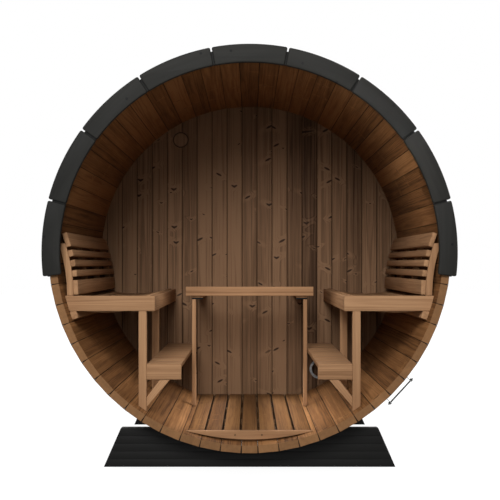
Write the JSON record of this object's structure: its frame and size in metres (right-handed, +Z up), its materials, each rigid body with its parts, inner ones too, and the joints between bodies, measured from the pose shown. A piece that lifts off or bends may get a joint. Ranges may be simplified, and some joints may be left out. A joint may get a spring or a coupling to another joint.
{
  "type": "barrel sauna",
  "caption": "Open-fronted barrel sauna: a stave barrel on saddle cradles with a plank back wall, dark curved edge boards, slatted benches, footrests and a heater guard.",
  "frame": {"origin": "on the ground, under the middle of the barrel", "axes": "+Z up, the barrel's axis along Y with the open front towards -Y, +X to the right seen from the front"},
  "size_m": [2.12, 1.8166, 2.19],
  "materials": {
    "stave_wood": "sawn and oiled, thermally browned",
    "wall_wood": "planed, thermally browned, knotty",
    "bench_wood": "planed, thermally browned",
    "roof_felt": "matt bitumen felt",
    "edge_paint": "dark stained",
    "hoop_steel": "galvanised",
    "bracket_steel": "black painted",
    "vent_steel": "brushed"
  },
  "bodies": {
    "root": {"floor_staves": "stave_wood", "lower_right_staves": "stave_wood", "right_staves": "stave_wood", "upper_right_staves": "stave_wood", "crown_staves": "stave_wood", "upper_left_staves": "stave_wood", "left_staves": "stave_wood", "lower_left_staves": "stave_wood", "back_wall_left": "wall_wood", "back_wall_centre": "wall_wood", "back_wall_vent_boards": "wall_wood", "back_wall_right": "wall_wood", "upper_vent_plug": "wall_wood", "lower_vent_cover": "wall_wood", "lower_vent_sleeve": "vent_steel", "roof_covering": "roof_felt", "front_edge_boards": "edge_paint", "rear_edge_boards": "edge_paint", "front_cradle": "edge_paint", "rear_cradle": "edge_paint", "front_hoop": "hoop_steel", "rear_hoop": "hoop_steel", "front_tensioner": "hoop_steel", "rear_tensioner": "hoop_steel", "left_bench_slats": "bench_wood", "left_bench_frame": "bench_wood", "left_ledger": "bench_wood", "left_posts": "bench_wood", "left_footrest_boards": "bench_wood", "left_footrest_frame": "bench_wood", "left_backrest_slats": "bench_wood", "left_backrest_uprights": "bench_wood", "right_bench_slats": "bench_wood", "right_bench_frame": "bench_wood", "right_ledger": "bench_wood", "right_posts": "bench_wood", "right_footrest_boards": "bench_wood", "right_footrest_frame": "bench_wood", "right_backrest_slats": "bench_wood", "right_backrest_uprights": "bench_wood", "duckboard_slats": "bench_wood", "duckboard_bearers": "bench_wood", "guard_rails": "bench_wood", "guard_legs": "bench_wood", "guard_brackets": "bracket_steel"}
  },
  "joints": []
}
